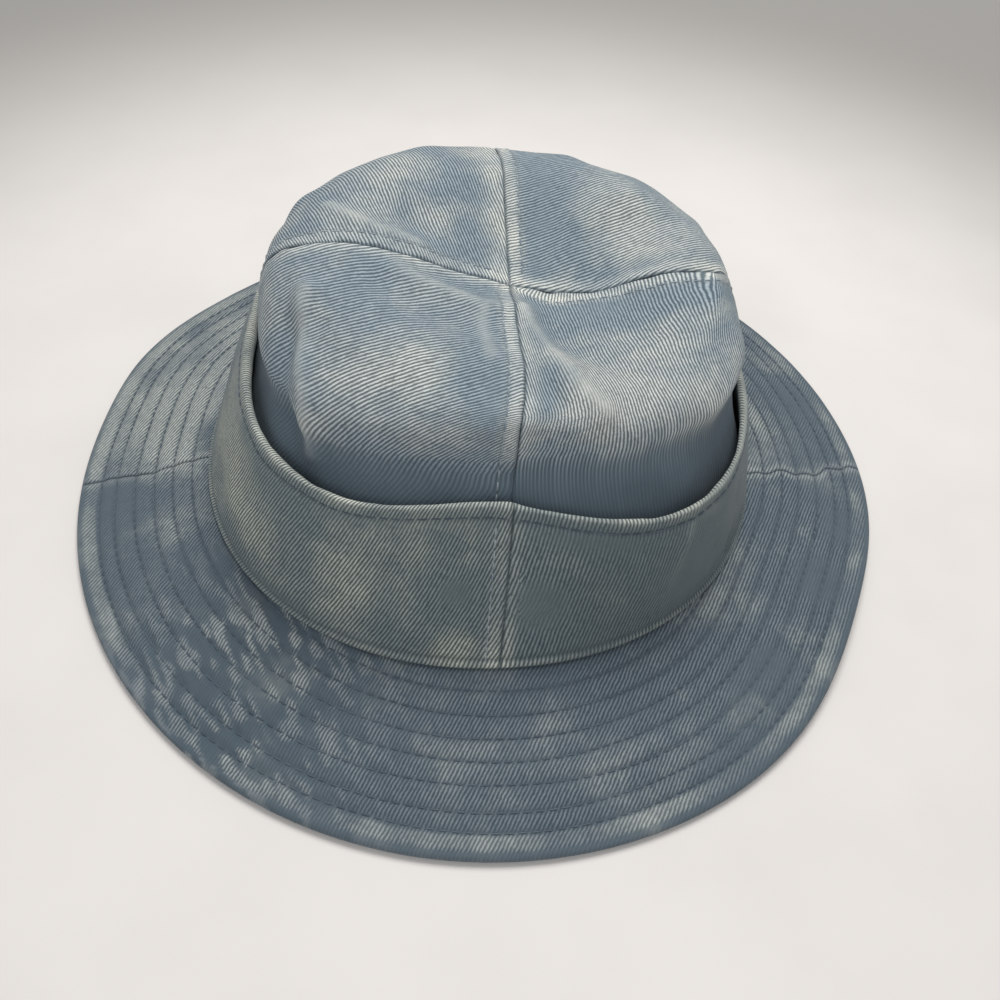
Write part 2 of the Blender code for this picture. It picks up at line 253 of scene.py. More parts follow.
CROWN_FOLDS = (
    # Ridges and dents of the crown's upper half
    Fold(((-162, 4.5), (-152, 4.0), (-141, 3.5), (-136, 3.1), (-134, 2.0)), 2.6, 4.0, 0.85),
    Fold(((-153, 3.9), (-148, 3.1), (-144, 2.2)), -3.0, 7.0),
    Fold(((-76, 6.5), (-75, 6.0), (-75, 5.2), (-73, 4.5), (-70, 4.0)), 2.4, 4.5, 0.8),
    Fold(((-71, 6.3), (-82, 5.2), (-83, 4.3), (-84, 3.5)), -1.4, 5.5),
    Fold(((-62, 6.4), (-58, 5.6), (-56, 4.9)), -1.3, 6.0),
    Fold(((-169, 5.9), (-151, 6.3), (-114, 6.4)), 1.9, 4.5, 0.6),
    Fold(((-160, 5.6), (-140, 5.9), (-118, 6.0)), -1.3, 6.0),
    Fold(((-118, 6.3), (-108, 5.9), (-103, 5.4)), 0.7, 4.0, 0.8),
    Fold(((164, 4.9), (169, 5.6), (167, 6.1)), 1.3, 4.0, 0.8),
    Fold(((150, 5.3), (150, 6.0)), -1.1, 7.0),
    Fold(((-12, 6.5), (4, 6.2)), -2.6, 8.0),
    Fold(((2, 5.7), (8, 5.3)), 2.2, 9.0),
    Fold(((40, 5.0), (48, 5.9)), 1.4, 7.0),
    Fold(((24, 4.5), (30, 5.4)), -1.0, 7.0),
    Fold(((-12, 5.2), (-40, 4.7)), 1.2, 7.0),
    Fold(((-62, 3.9), (-48, 4.3), (-38, 4.6)), -1.2, 6.0),
    # The sag above the cuff at the front, and upright folds of the wall
    Fold(((-125, 2.7), (-105, 2.4), (-92, 2.5), (-75, 2.3), (-50, 2.6)), -1.2, 6.0),
    Fold(((-132, 3.2), (-112, 3.0), (-90, 3.1), (-66, 3.0)), 1.1, 8.0),
    Fold(((-100, 1.0), (-96, 2.4)), 0.9, 5.0),
    Fold(((-30, 1.2), (-24, 2.6), (-20, 3.8)), 1.0, 6.0),
    Fold(((20, 1.2), (26, 2.8), (22, 4.2)), 1.1, 6.0),
    Fold(((70, 1.0), (62, 2.6), (66, 4.0)), 1.0, 6.0),
    Fold(((112, 1.2), (106, 2.8), (112, 4.2)), 0.6, 6.0),
    Fold(((150, 1.2), (146, 2.6), (152, 3.8)), 1.0, 6.0),
    # The wall leans out to the cuff at the right, and keeps clear of it at the back and left
    Fold(((-32, 1.1), (-16, 1.1), (-3, 1.0)), 1.7, 14.0),
    Fold(((-48, 1.5), (-30, 1.4)), 2.0, 14.0),
    Fold(((-18, 2.2), (-4, 2.1)), 0.5, 12.0),
    Fold(((92, 1.9), (118, 1.9)), -0.6, 9.0),
    Fold(((173, 2.0), (187, 2.0)), -0.9, 9.0),
)

# Washed patches as (angle, level, size, amount). An amount above zero is paler, and below zero is bluer.
CROWN_PATCHES = (
    # Front left panel
    (-129, 4.6, 17, 0.38), (-113, 4.1, 13, 0.30), (-133, 3.6, 14, 0.30), (-136, 5.5, 8, -0.20),
    (-122, 6.4, 6, -0.25), (-104, 5.6, 8, -0.40), (-101, 4.7, 8, -0.45), (-98, 3.9, 7, -0.35),
    (-148, 3.1, 9, -0.50),
    # Front right panel
    (-81, 4.5, 7, 0.10), (-82, 3.6, 7, 0.10), (-77, 3.0, 8, -0.05), (-75, 5.6, 7, 0.50),
    (-72, 4.2, 9, 0.50), (-58, 4.9, 16, 0.45), (-60, 3.6, 15, 0.40), (-36, 4.5, 17, 0.40),
    (-16, 6.0, 9, -0.40), (-33, 6.2, 8, -0.30), (-8, 5.5, 8, -0.30), (-66, 6.5, 5, -0.30),
    # Back left panel
    (127, 5.2, 17, 0.35), (155, 5.3, 14, 0.35), (140, 6.1, 7, 0.20), (111, 5.7, 8, -0.75),
    (122, 6.3, 7, -0.35), (110, 5.0, 8, -0.60), (97, 6.3, 8, 0.70), (98, 5.5, 9, 0.80),
    (99, 4.7, 8, 0.60),
    # Back right panel
    (76, 4.8, 7, -0.60), (72, 5.5, 7, -0.60), (64, 6.1, 7, -0.55), (45, 6.5, 6, -0.30),
    (52, 5.8, 6, -0.20), (40, 5.3, 16, 0.40), (20, 5.2, 16, 0.45),
)

# On the cuff the level of a patch is its share of the height
CUFF_PATCHES = (
    (-98, 0.12, 8, 0.8), (-106, 0.40, 14, 0.35), (-122, 0.52, 18, 0.55), (-140, 0.5, 16, 0.40),
    (-160, 0.6, 22, 0.85), (-100, 0.5, 7, -0.8), (-112, 0.18, 9, -0.3), (-84, 0.45, 11, -0.7),
    (-76, 0.75, 10, 0.25), (-56, 0.42, 16, -0.50), (-72, 0.25, 9, 0.25), (-30, 0.6, 22, -0.55),
    (10, 0.5, 20, 0.3), (60, 0.4, 22, 0.3), (85, 0.7, 14, -0.4), (120, 0.6, 18, -0.4),
    (160, 0.4, 20, 0.35),
)

# On the brim the level of a patch is its share of the width
BRIM_PATCHES = (
    (-134, 0.62, 20, -0.35), (178, 0.45, 20, 0.90), (163, 0.55, 22, 1.00), (142, 0.5, 24, 0.80),
    (115, 0.5, 24, 0.35), (177, 0.12, 8, -0.4), (-172, 0.75, 12, -0.5), (-160, 0.35, 10, 0.30),
    (-150, 0.2, 10, -0.5), (-140, 0.85, 12, -0.3), (-122, 0.45, 12, 0.25), (-120, 0.12, 9, -0.4),
    (-112, 0.92, 9, -0.45), (-95, 0.6, 18, 0.25), (-80, 0.2, 12, -0.25), (-70, 0.72, 16, 0.30),
    (-60, 0.93, 8, -0.35), (-48, 0.62, 9, -0.45), (-42, 0.3, 14, 0.20), (-30, 0.72, 11, -0.65),
    (-18, 0.8, 11, -0.55), (-14, 0.4, 14, 0.25), (6, 0.35, 14, 0.45), (12, 0.72, 11, -0.50),
    (28, 0.5, 20, 0.30), (60, 0.6, 22, 0.25), (88, 0.7, 14, -0.40),
)


# ------------------------ shapes as formulas


def smooth(value, low, high):
    """0 below low, 1 above high, and a smooth step between."""
    part = np.clip((value - low) / (high - low), 0, 1)
    return part * part * (3 - 2 * part)


def bump_at(value, centre, width):
    """1 at the centre, falling away on both sides."""
    return np.exp(-(((value - centre) / width) ** 2))


def soft_noise(points, size, seed):
    """A smooth random field between -1 and 1, with bumps about size across."""
    cell = np.asarray(points) / size
    corner = np.floor(cell).astype(np.int64)
    part = cell - corner
    part = part * part * (3 - 2 * part)
    total = np.zeros(cell.shape[:-1])
    for step in product((0, 1), repeat=3):
        weight = np.ones(cell.shape[:-1])
        key = np.full(cell.shape[:-1], seed * SEED_STEP, np.int64)
        for axis, (move, prime) in enumerate(zip(step, CELL_PRIMES)):
            weight = weight * (part[..., axis] if move else 1 - part[..., axis])
            key = key ^ ((corner[..., axis] + move) * prime)
        key = (key * HASH_STEPS[0] + HASH_STEPS[1]) & HASH_MASK
        key = (key ^ (key >> 13)) * HASH_STEPS[2] & HASH_MASK
        total += weight * (((key >> 8) & 0xFFFF) / 32767.5 - 1)
    return total


def wave(ripples, angle, field):
    """The sum of one field of the ripples at angles in degrees."""
    total = np.zeros(np.shape(angle))
    for ripple in ripples:
        turn = (angle - ripple.angle + 180) % 360 - 180
        total += getattr(ripple, field) * bump_at(turn, 0, ripple.width)
    return total


def ring_points(ring, angle, extra_reach=0.0):
    """Points of a ring, or of an array of rings, at angles in degrees: 0 is +X, and -90 is the front."""
    c = np.cos(np.radians(angle))
    s = np.sin(np.radians(angle))
    n = ring.squareness
    reach = (np.abs(c / ring.half_width) ** n + np.abs(s / ring.half_depth) ** n) ** (-1 / n)
    x = (reach + extra_reach) * c
    y = (reach + extra_reach) * s
    z = ring.height + ring.tilt_x * x + ring.tilt_y * y
    return np.stack(np.broadcast_arrays(x + ring.centre_x, y + ring.centre_y, z), -1)


def crown_surface(angle, level):
    """Points of the crown, by a Catmull-Rom curve through its rings."""
    table = np.array(CROWN_RINGS, float)
    level = np.clip(level, 0, CROWN_TOP_LEVEL)
    i = np.minimum(level.astype(int), CROWN_TOP_LEVEL - 1)
    u = (level - i)[..., None]
    a, b, c, d = [table[np.clip(i + k, 0, CROWN_TOP_LEVEL)] for k in (-1, 0, 1, 2)]
    curve = (2 * a - 5 * b + 4 * c - d) * u**2 + (3 * b - a - 3 * c + d) * u**3
    fields = b + 0.5 * ((c - a) * u + curve)
    return ring_points(Ring(*np.moveaxis(fields, -1, 0)), angle)


def crown_place(angle, level):
    return crown_surface(np.array([float(angle)]), np.array([float(level)]))[0]


def normals_of(grid):
    """Unit normals of a grid whose rows go up and whose columns go right, seen from outside."""
    across = np.gradient(grid, axis=1)
    up = np.gradient(grid, axis=0)
    normal = np.cross(across, up)
    length = np.linalg.norm(normal, axis=-1, keepdims=True)
    return normal / np.maximum(length, 1e-6)


def outward_in_plan(angle):
    """Unit directions away from the hat's middle in plan."""
    return np.stack([np.cos(np.radians(angle)), np.sin(np.radians(angle)), np.zeros(angle.shape)], -1)


def travel(grid, axis):
    """Distance up a grid's columns (axis 0) or along its rows (axis 1), from its start."""
    step = np.linalg.norm(np.diff(grid, axis=axis), axis=-1)
    total = np.cumsum(step, axis=axis)
    pad = [(0, 0), (0, 0)]
    pad[axis] = (1, 0)
    return np.pad(total, pad)


def seam_gaps(grid):
    """Distances of a panel's points from its first seam and from its last seam."""
    across = travel(grid, 1)
    return across, across[:, -1:] - across


def crowded_shares(count, crowd):
    """Shares from 0 to 1 that crowd towards both ends."""
    even = np.linspace(0, 1, count)
    return even - crowd * np.sin(2 * pi * even) / (2 * pi)


def near_line(points, line):
    """Distance from each point to a line of places."""
    nearest = np.full(points.shape[:-1], np.inf)
    for a, b in zip(line, line[1:]):
        run = b - a
        share = np.clip(((points - a) @ run) / (run @ run), 0, 1)
        gap = np.linalg.norm(points - (a + share[..., None] * run), axis=-1)
        nearest = np.minimum(nearest, gap)
    return nearest


def patch_tone(points, patches, place_at):
    """How pale or blue the wash is at each point, from the patches near it."""
    tone = np.zeros(points.shape[:-1])
    for angle, level, size, amount in patches:
        gap = np.linalg.norm(points - place_at(angle, level), axis=-1)
        tone += amount * bump_at(gap, 0, size)
    return tone


def cloth_fields(tone, worn, dirt, bare):
    """The fields that the denim material reads, by name."""
    amounts = {"worn": worn, "dirt": dirt, "bare": bare}
    return {"tone": tone, **{name: np.clip(value, 0, 1) for name, value in amounts.items()}}


# ------------------------ meshes


def mesh_object(name, points, faces, materials, face_material=None):
    """An object from points in millimetres."""
    mesh = bpy.data.meshes.new(name)
    mesh.from_pydata((points * MM).tolist(), [], faces.tolist())
    for material in materials:
        mesh.materials.append(material)
    if face_material is not None:
        mesh.polygons.foreach_set("material_index", face_material.astype(np.int32))
    mesh.shade_smooth()
    obj = bpy.data.objects.new(name, mesh)
    bpy.context.scene.collection.objects.link(obj)
    return obj


def add_fields(obj, uv, fields):
    """Cloth coordinates in metres, and one value per point for each field that the material reads."""
    mesh = obj.data
    corner = np.zeros(len(mesh.loops), np.int32)
    mesh.loops.foreach_get("vertex_index", corner)
    layer = mesh.uv_layers.new(name="Cloth")
    layer.data.foreach_set("uv", (uv[corner] * MM).astype(np.float32).ravel())
    for name, values in fields.items():
        attribute = mesh.attributes.new(name, "FLOAT", "POINT")
        attribute.data.foreach_set("value", values.astype(np.float32).ravel())


def cloth_sheet(name, outer, inner, materials, uv, fields, closed=False):
    """A cloth sheet between two grids of the same shape. A closed one joins its last column to its first."""
    rows, columns = outer.shape[:2]
    count = rows * columns
    index = np.arange(count).reshape(rows, columns)
    if closed:
        index = np.concatenate([index, index[:, :1]], axis=1)
    low_left, low_right = index[:-1, :-1], index[:-1, 1:]
    top_left, top_right = index[1:, :-1], index[1:, 1:]
    front = np.stack([low_left, low_right, top_right, top_left], -1).reshape(-1, 4)
    back = front[:, ::-1] + count
    borders = [index[0, ::-1], index[-1]]
    if not closed:
        borders += [index[:, 0], index[::-1, -1]]
    rims = [np.stack([line[:-1], line[1:], line[1:] + count, line[:-1] + count], -1) for line in borders]
    rim = np.concatenate(rims)
    side = np.concatenate([np.zeros(len(front)), np.ones(len(back)), np.zeros(len(rim))])
    points = np.concatenate([outer.reshape(-1, 3), inner.reshape(-1, 3)])
    faces = np.concatenate([front, back, rim])
    obj = mesh_object(name, points, faces, materials, side if len(materials) > 1 else None)
    both = {key: np.concatenate([value.ravel(), value.ravel()]) for key, value in fields.items()}
    flat = uv.reshape(-1, 2)
    add_fields(obj, np.concatenate([flat, flat * (-1, 1)]), both)
    return obj


def hand_over(piece, body, slot, *nodes):
    """Let a piece ride on its body, and let it stand for its CAD nodes. The slot is not used."""
    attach(piece, body)
    if nodes:
        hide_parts(*nodes)


# ------------------------ stitches


def along_run(distance, values, at):
    """Values of a run of stitches at distances along it."""
    return np.stack([np.interp(at, distance, values[:, k]) for k in range(3)], -1)


def stitches(name, runs, material, length=STITCH_LENGTH, radius=THREAD_RADIUS):
    """Single stitches as short bent threads, their ends sunk in the cloth.

    They follow runs of (places, outward normals).
    """
    stations = np.array([0.0, 0.12, 0.5, 0.88, 1.0])
    lift = np.array([-0.9, 0.05, 0.55, 0.05, -0.9]) * radius
    swell = np.array([0.45, 0.95, 1.0, 0.95, 0.45]) * radius
    turns = np.arange(THREAD_SIDES) * 2 * pi / THREAD_SIDES
    rings = []
    for places, normals in runs:
        distance = np.concatenate([[0], np.cumsum(np.linalg.norm(np.diff(places, axis=0), axis=1))])
        count = int((distance[-1] + STITCH_SPACE) / (length + STITCH_SPACE))
        starts = (np.arange(count) + 0.5) * distance[-1] / count - length / 2
        at = np.clip(starts[:, None] + stations * length, 0, distance[-1])
        where = along_run(distance, places, at)
        out = along_run(distance, normals, at)
        out /= np.linalg.norm(out, axis=-1, keepdims=True)
        side = np.cross(np.gradient(where, axis=1), out)
        side /= np.maximum(np.linalg.norm(side, axis=-1, keepdims=True), 1e-9)
        centre = where + out * lift[:, None]
        aside = side[..., None, :] * np.cos(turns)[:, None]
        above = out[..., None, :] * np.sin(turns)[:, None]
        rings.append(centre[..., None, :] + (aside + above) * swell[:, None, None])
    points = np.concatenate(rings)
    count, per_stitch = len(points), len(stations) * THREAD_SIDES
    index = np.arange(per_stitch).reshape(len(stations), THREAD_SIDES)
    follow = np.roll(index, -1, axis=1)
    tube = np.stack([index[:-1], index[1:], follow[1:], follow[:-1]], -1).reshape(-1, 4)
    ends = (index[0], index[-1][::-1])
    caps = [end[[k, k + 1, k + 2, (k + 3) % THREAD_SIDES]] for end in ends for k in (0, 3)]
    one = np.concatenate([tube, caps])
    faces = (np.arange(count)[:, None, None] * per_stitch + one).reshape(-1, 4)
    return mesh_object(name, points.reshape(-1, 3), faces, [material])


def seam_run(grid, normals, end_gap, rows):
    """Places and normals of the stitch line beside a panel's last seam, one for each of its rows."""
    places = []
    columns = []
    for row in rows:
        order = np.argsort(end_gap[row])
        gap = end_gap[row, order]
        places.append([np.interp(TOPSTITCH_OFFSET, gap, grid[row, order, k]) for k in range(3)])
        columns.append(np.argmin(np.abs(end_gap[row] - TOPSTITCH_OFFSET)))
    return np.array(places), normals[rows, columns]


def level_run(grid, normals, signed, columns):
    """Places and normals of the line where a signed distance is zero, one for each of the columns."""
    places = []
    rows = []
    for column in columns:
        order = np.argsort(signed[:, column])
        gap = signed[order, column]
        places.append([np.interp(0.0, gap, grid[order, column, k]) for k in range(3)])
        rows.append(np.argmin(np.abs(signed[:, column])))
    return np.array(places), normals[rows, columns]


# ------------------------ materials


class Value:
    """A value in a material's node tree. Arithmetic on it adds the nodes that work it out."""

    def __init__(self, graph, socket):
        self.graph = graph
        self.socket = socket

    def __add__(self, other):
        return self.graph.math("ADD", self, other)

    def __sub__(self, other):
        return self.graph.math("SUBTRACT", self, other)

    def __rsub__(self, other):
        return self.graph.math("SUBTRACT", other, self)

    def __mul__(self, other):
        return self.graph.math("MULTIPLY", self, other)

    def __truediv__(self, other):
        return self.graph.math("DIVIDE", self, other)


class Graph:
    """A material's node tree, with a short call for each kind of node. Lengths are in millimetres."""

    def __init__(self, name):
        self.material = bpy.data.materials.new(name)
        self.material.use_nodes = True
        self.shader = self.material.node_tree.nodes["Principled BSDF"]

    def put(self, socket, value):
        if isinstance(value, Value):
            self.material.node_tree.links.new(value.socket, socket)
        elif isinstance(value, tuple):
            socket.default_value = (*value, 1.0)[: len(socket.default_value)]
        else:
            socket.default_value = value

    def node(self, kind, output, inputs, **settings):
        """Add a node, fill its inputs by name or number, and give one of its outputs."""
        node = self.material.node_tree.nodes.new("ShaderNode" + kind)
        for setting, value in settings.items():
            setattr(node, setting, value)
        for key, value in inputs.items():
            self.put(node.inputs[key], value)
        return Value(self, node.outputs[output])

    def math(self, operation, a, b=0.0):
        return self.node("Math", 0, {0: a, 1: b}, operation=operation)

    def ripple(self, value, pitch):
        """A sine wave between -1 and 1."""
        return self.math("SINE", value * (2 * pi / pitch))

    def mix(self, factor, a, b):
        return self.node("Mix", 2, {"Factor": factor, 6: a, 7: b}, data_type="RGBA")

    def step(self, value, low, high):
        limits = {"Value": value, "From Min": low, "From Max": high}
        return self.node("MapRange", "Result", limits, interpolation_type="SMOOTHSTEP")

    def vector(self, x, y):
        return self.node("CombineXYZ", 0, {0: x, 1: y})

    def noise(self, place, size, detail=2.0, roughness=0.5):
        inputs = {"Vector": place, "Scale": 1 / size, "Detail": detail, "Roughness": roughness}
        return self.node("TexNoise", "Fac", inputs)

    def field(self, name):
        return self.node("Attribute", "Fac", {}, attribute_name=name)

    def in_millimetres(self, place):
        return self.node("VectorMath", 0, {0: place, "Scale": 1 / MM}, operation="SCALE")

    def cloth_place(self):
        """The place on the cloth, its part across the grain and its part along it."""
        place = self.in_millimetres(self.node("UVMap", 0, {}, uv_map="Cloth"))
        right, up = [self.node("SeparateXYZ", axis, {0: place}) for axis in (0, 1)]
        return place, right, up

    def object_place(self):
        return self.in_millimetres(self.node("TexCoord", "Object", {}))

    def finish(self, colour, roughness, height=None, depth=0.0, sheen=0.0):
        looks = {
            "Base Color": colour,
            "Roughness": roughness,
            "Sheen Weight": sheen,
            "Sheen Roughness": 0.5,
            "Specular IOR Level": 0.25,
        }
        if height is not None:
            bump = {"Strength": 0.9, "Distance": depth * MM, "Height": height}
            looks["Normal"] = self.node("Bump", 0, bump)
        for name, value in looks.items():
            self.put(self.shader.inputs[name], value)
        return self.material


def denim(name, turn, groove, rib, pale_groove, pale_rib, cream, wash=0.5, unrest=0.3):
    """Washed twill: pale ribs over dark grooves, broken into short floats and faded in clouds.

    The fields on the cloth make it paler or bluer (tone), cream where rubbed (worn), darker for real grime
    and for painted shade (dirt), or smooth, with its ribs lost (bare). The ribs lean by turn, in degrees,
    from the cloth's upright.
    """
    g = Graph(name)
    place, right, up = g.cloth_place()
    lean = radians(turn)
    across = right * cos(lean) - up * sin(lean)
    along = right * sin(lean) + up * cos(lean)
    across = across + (g.noise(place, 15) - 0.5) * 1.5
    across = across + (g.noise(place, 2.2) - 0.5) * unrest
    ridge = g.ripple(across, RIB_PITCH) * 0.5 + 0.5
    floats = g.noise(g.vector(across * (0.9 / RIB_PITCH), along / 1.9), 1.0, detail=1.0)
    yarn = g.noise(g.vector(across / 0.3, along / 0.7), 1.0)
    slub = g.noise(g.vector(right / 0.8, up / 14), 1.0)
    thread = ridge * (floats * 1.3 + 0.3) + (yarn - 0.5) * 0.8 + (slub - 0.5) * 0.45
    # Darkening from real grime and from painted shade, read from the cloth: it dims the ribs and pulls the
    # colour to the groove colour
    dirt = g.field("dirt")
    bare = g.field("bare")
    light = g.step(thread, 0.05, 1.0) * (1.0 - dirt * 0.6)
    light = light + bare * (0.28 - light * 0.85)
    cloud = g.noise(place, 30, detail=4.0, roughness=0.6) + g.field("tone") * 0.4
    fade = g.step(cloud, 0.98 - wash, 1.38 - wash)
    colour = g.mix(light, g.mix(fade, groove, pale_groove), g.mix(fade, rib, pale_rib))
    colour = g.mix(g.field("worn") * (light * 0.9 + 0.12), colour, cream)
    mottle = g.step(g.noise(place, 5, detail=4.0, roughness=0.65), 0.42, 0.75)
    colour = g.mix(mottle * 0.22, colour, groove)
    # Real grime and painted shade pull the colour to the groove colour
    colour = g.mix(dirt * 0.5, colour, groove)
    height = (thread + yarn * 0.3) * (1.0 - bare * 0.8)
    return g.finish(colour, 0.94 - light * 0.06, height, 0.2, sheen=0.1)


def denim_back(name, weft, warp, turn):
    """The inside of the cloth, where the pale weft covers most of the blue warp."""
    g = Graph(name)
    place, right, up = g.cloth_place()
    lean = radians(turn)
    across = right * cos(lean) - up * sin(lean) + (g.noise(place, 3) - 0.5) * 0.5
    ridge = g.ripple(across, RIB_PITCH) * 0.5 + 0.5
    thread = ridge + (g.noise(place, 0.5) - 0.5) * 0.8
    colour = g.mix(g.step(thread, 0.1, 0.8), warp, weft)
    colour = g.mix(g.step(g.noise(place, 26), 0.45, 0.75) * 0.35, colour, warp)
    return g.finish(colour, 0.95, thread, 0.25, sheen=0.1)


def woven(name, light, dark, yarn_size, depth, roughness=0.85):
    """A plain weave of two crossing sets of yarns, for the tape, the label and the stiffener."""
    g = Graph(name)
    place, right, up = g.cloth_place()
    over = g.ripple(right, yarn_size) * g.ripple(up, yarn_size) * 0.5 + 0.5
    thread = over + (g.noise(place, yarn_size / 3) - 0.5) * 0.7
    colour = g.mix(g.step(thread, 0.1, 0.9), dark, light)
    colour = g.mix(g.step(g.noise(place, 22, detail=3.0), 0.4, 0.8) * 0.3, colour, dark)
    return g.finish(colour, roughness, thread, depth, sheen=0.1)


def sewing_thread(name, light, dark):
    """Twisted thread, faded in places along its run."""
    g = Graph(name)
    place = g.object_place()
    fibre = g.noise(place, 0.35)
    colour = g.mix(g.step(g.noise(place, 14), 0.35, 0.65), dark, light)
    colour = g.mix(g.step(fibre, 0.4, 0.7) * 0.35, colour, dark)
    return g.finish(colour, 0.75, fibre, 0.1, sheen=0.1)


MATERIALS = {
    "crown": denim(
        "crown_denim",
        turn=24,
        groove=(0.090, 0.132, 0.165),
        rib=(0.40, 0.48, 0.53),
        pale_groove=(0.160, 0.185, 0.185),
        pale_rib=(0.76, 0.79, 0.76),
        cream=(0.92, 0.93, 0.85),
        wash=0.58,
    ),
    "cuff": denim(
        "cuff_denim",
        turn=22,
        groove=(0.070, 0.100, 0.112),
        rib=(0.28, 0.338, 0.348),
        pale_groove=(0.110, 0.130, 0.120),
        pale_rib=(0.60, 0.64, 0.57),
        cream=(0.84, 0.85, 0.74),
    ),
    "brim": denim(
        "brim_denim",
        turn=30,
        groove=(0.055, 0.082, 0.106),
        rib=(0.195, 0.24, 0.272),
        pale_groove=(0.140, 0.165, 0.167),
        pale_rib=(0.54, 0.58, 0.555),
        cream=(0.74, 0.77, 0.73),
        unrest=0.5,
    ),
    "back": denim_back("denim_inside", weft=(0.50, 0.54, 0.54), warp=(0.20, 0.27, 0.34), turn=-26),
    "stiffener": woven("brim_canvas", (0.70, 0.68, 0.62), (0.48, 0.46, 0.41), 1.3, 0.2),
    "band": woven("cotton_tape", (0.60, 0.57, 0.49), (0.38, 0.36, 0.30), 0.9, 0.15),
    "label": woven("label_cloth", (0.80, 0.79, 0.74), (0.66, 0.65, 0.60), 0.5, 0.06, 0.6),
    "pale_thread": sewing_thread("pale_thread", (0.40, 0.45, 0.46), (0.20, 0.26, 0.31)),
    "slate_thread": sewing_thread("slate_thread", (0.12, 0.155, 0.185), (0.075, 0.10, 0.13)),
}


# ------------------------ seams and puckers


def seam_relief(start_gap, end_gap):
    """Heights of a panel near its first seam, and near its last, which has a felled strip beside it."""
    first = -0.5 * bump_at(start_gap, 0, 0.4) + 0.12 * bump_at(start_gap, 2.0, 1.5)
    strip = smooth(end_gap, 0.2, 1.2) * (1 - smooth(end_gap, FELL_WIDTH - 0.4, FELL_WIDTH + 0.6))
    channel = -0.2 * bump_at(end_gap, TOPSTITCH_OFFSET, 0.4)
    return first, -0.5 * bump_at(end_gap, 0, 0.4) + 0.14 * strip + channel


def pucker(points, gap, size, amount, reach, seed):
    """Small gathers that a line of stitches pulls into the cloth, dying away from it."""
    return amount * soft_noise(points, size, seed) * bump_at(gap, 0, reach)


# ------------------------ crown


def softened(line):
    """A line of places with its corners cut twice, so that a crease bends softly."""
    places = np.array(line, float)
    for _ in range(2):
        inner = [places[:-1] * 0.75 + places[1:] * 0.25, places[:-1] * 0.25 + places[1:] * 0.75]
        places = np.concatenate([places[:1], np.stack(inner, 1).reshape(-1, 2), places[-1:]])
    return places


def crown_creases(points):
    """Height of the crown's creases at each point, and how far their ridges are rubbed bare."""
    height = np.zeros(points.shape[:-1])
    bare = np.zeros(points.shape[:-1])
    for fold in CROWN_FOLDS:
        gap = near_line(points, [crown_place(*place) for place in softened(fold.line)])
        height += fold.height * bump_at(gap, 0, fold.width)
        bare += fold.bare * bump_at(gap, 0, 0.5 * fold.width)
    return height, np.clip(bare, 0, 1)


def crown_levels(angle):
    """Levels whose rows lie evenly spaced up the crown at an angle."""
    fine = np.linspace(0, CROWN_TOP_LEVEL, 400)
    line = crown_surface(np.full(fine.shape, float(angle)), fine)
    distance = travel(line[:, None], 0)[:, 0]
    count = int(distance[-1] / CROWN_ROW_SPACING)
    return np.interp(np.linspace(0, distance[-1], count), distance, fine)


def crown_normals(grid):
    """Unit normals of a crown panel, whose last row is a single point."""
    normal = normals_of(grid)
    normal[-1] = normal[-2].mean(0)
    return normal


def crown_relief(points, creases, start_gap, end_gap):
    relief = creases + sum(seam_relief(start_gap, end_gap))
    relief += pucker(points, start_gap, size=5, amount=0.45, reach=7, seed=11)
    relief += pucker(points, end_gap, size=4.5, amount=0.55, reach=8, seed=12)
    relief += 1.1 * soft_noise(points, 30, 21)
    relief += 0.6 * soft_noise(points, 14, 22)
    relief += 0.12 * soft_noise(points, 6, 23)
    return relief * smooth(travel(points, 0), 0, 14)


def gore_pattern(grid, dragged):
    """Cloth coordinates of a crown panel laid flat: each ring of it becomes an arc of a cone.

    On a dragged panel the cloth has slipped sideways over the bulge, so that its ribs bend there.
    """
    middle = grid.shape[1] // 2
    up = travel(grid[:, middle : middle + 1], 0)
    right = travel(grid, 1)
    right = right - right[:, middle : middle + 1]
    width = (right[:, -1:] - right[:, :1]) / (pi / 2)
    narrowing = -np.gradient(width, axis=0) / np.gradient(up, axis=0)
    bend = np.clip(narrowing / np.maximum(width, 0.2), 1e-6, None)
    across = np.sin(right * bend) / bend
    rise = up + (1 - np.cos(right * bend)) / bend
    pull = RIB_PULL * (rise - up[-1]) / up[-1]
    if dragged:
        slope = 1.65 * smooth(rise, DRAG_FROM, DRAG_TO) - 0.15
        step = np.diff(rise, axis=0) * (slope[1:] + slope[:-1]) / 2
        rise = np.concatenate([rise[:1], rise[:1] + np.cumsum(step, axis=0)])
    return np.stack([across * (1 + pull), rise], -1)


